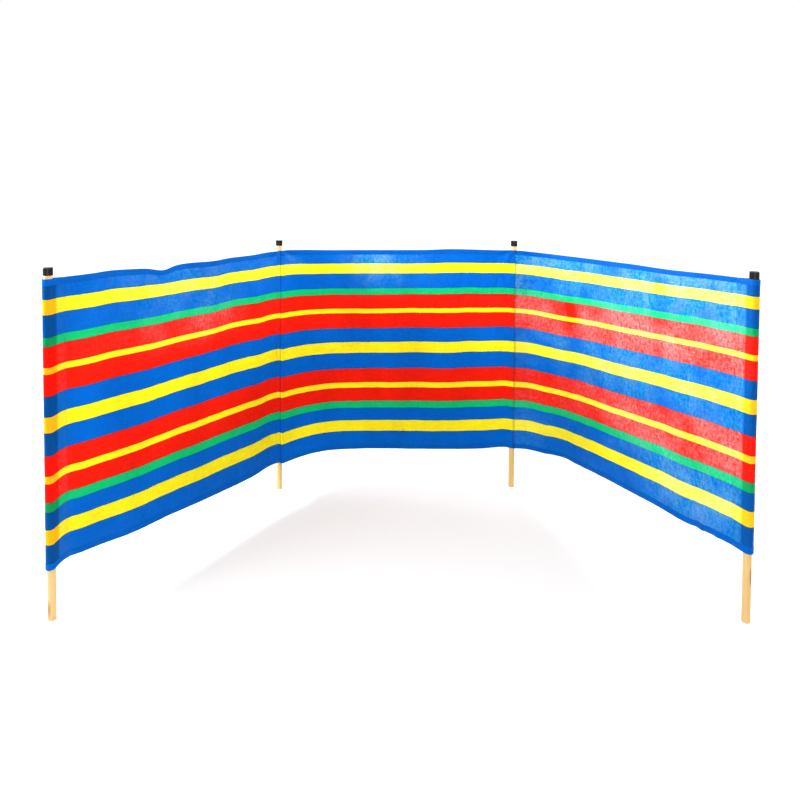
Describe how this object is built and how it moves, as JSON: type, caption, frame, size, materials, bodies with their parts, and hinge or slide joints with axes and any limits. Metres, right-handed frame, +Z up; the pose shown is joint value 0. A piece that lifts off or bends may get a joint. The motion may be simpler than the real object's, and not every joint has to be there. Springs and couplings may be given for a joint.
{
  "type": "beach windbreak",
  "caption": "Beach windbreak: a long striped cloth sheet in bays on capped round wooden poles, standing as a U; the side bays fold about the inner poles.",
  "frame": {"origin": "centre of the left inner pole's foot, on the pole's axis at ground level", "axes": "+X along the middle bay to the right inner pole, +Y out of the back of the U, +Z up the poles"},
  "size_m": [2.394, 1.1202, 1.2],
  "materials": {
    "pine": "planed, bare",
    "cap_plastic": "glossy",
    "striped_cloth": "woven polypropylene with a glossy film, in bold horizontal stripes of blue, yellow, green and red"
  },
  "bodies": {
    "middle_bay": {"left_inner_pole": "pine", "left_inner_cap": "cap_plastic", "left_inner_pocket": "striped_cloth", "right_inner_pole": "pine", "right_inner_cap": "cap_plastic", "right_inner_pocket": "striped_cloth", "middle_panel": "striped_cloth", "middle_top_hem": "striped_cloth", "middle_bottom_hem": "striped_cloth"},
    "left_bay": {"left_end_pole": "pine", "left_end_cap": "cap_plastic", "left_end_pocket": "striped_cloth", "left_panel": "striped_cloth", "left_top_hem": "striped_cloth", "left_bottom_hem": "striped_cloth"},
    "right_bay": {"right_end_pole": "pine", "right_end_cap": "cap_plastic", "right_end_pocket": "striped_cloth", "right_panel": "striped_cloth", "right_top_hem": "striped_cloth", "right_bottom_hem": "striped_cloth"}
  },
  "joints": [
    {"name": "left_bay_fold", "type": "hinge", "parent": "middle_bay", "child": "left_bay", "pos_m": [0, 0, 0.6], "axis": [0, 0, -1], "range_deg": [-61.5, 172.5]},
    {"name": "right_bay_fold", "type": "hinge", "parent": "middle_bay", "child": "right_bay", "pos_m": [1.125, 0, 0.6], "axis": [0, 0, 1], "range_deg": [-58.5, 175.5]}
  ]
}
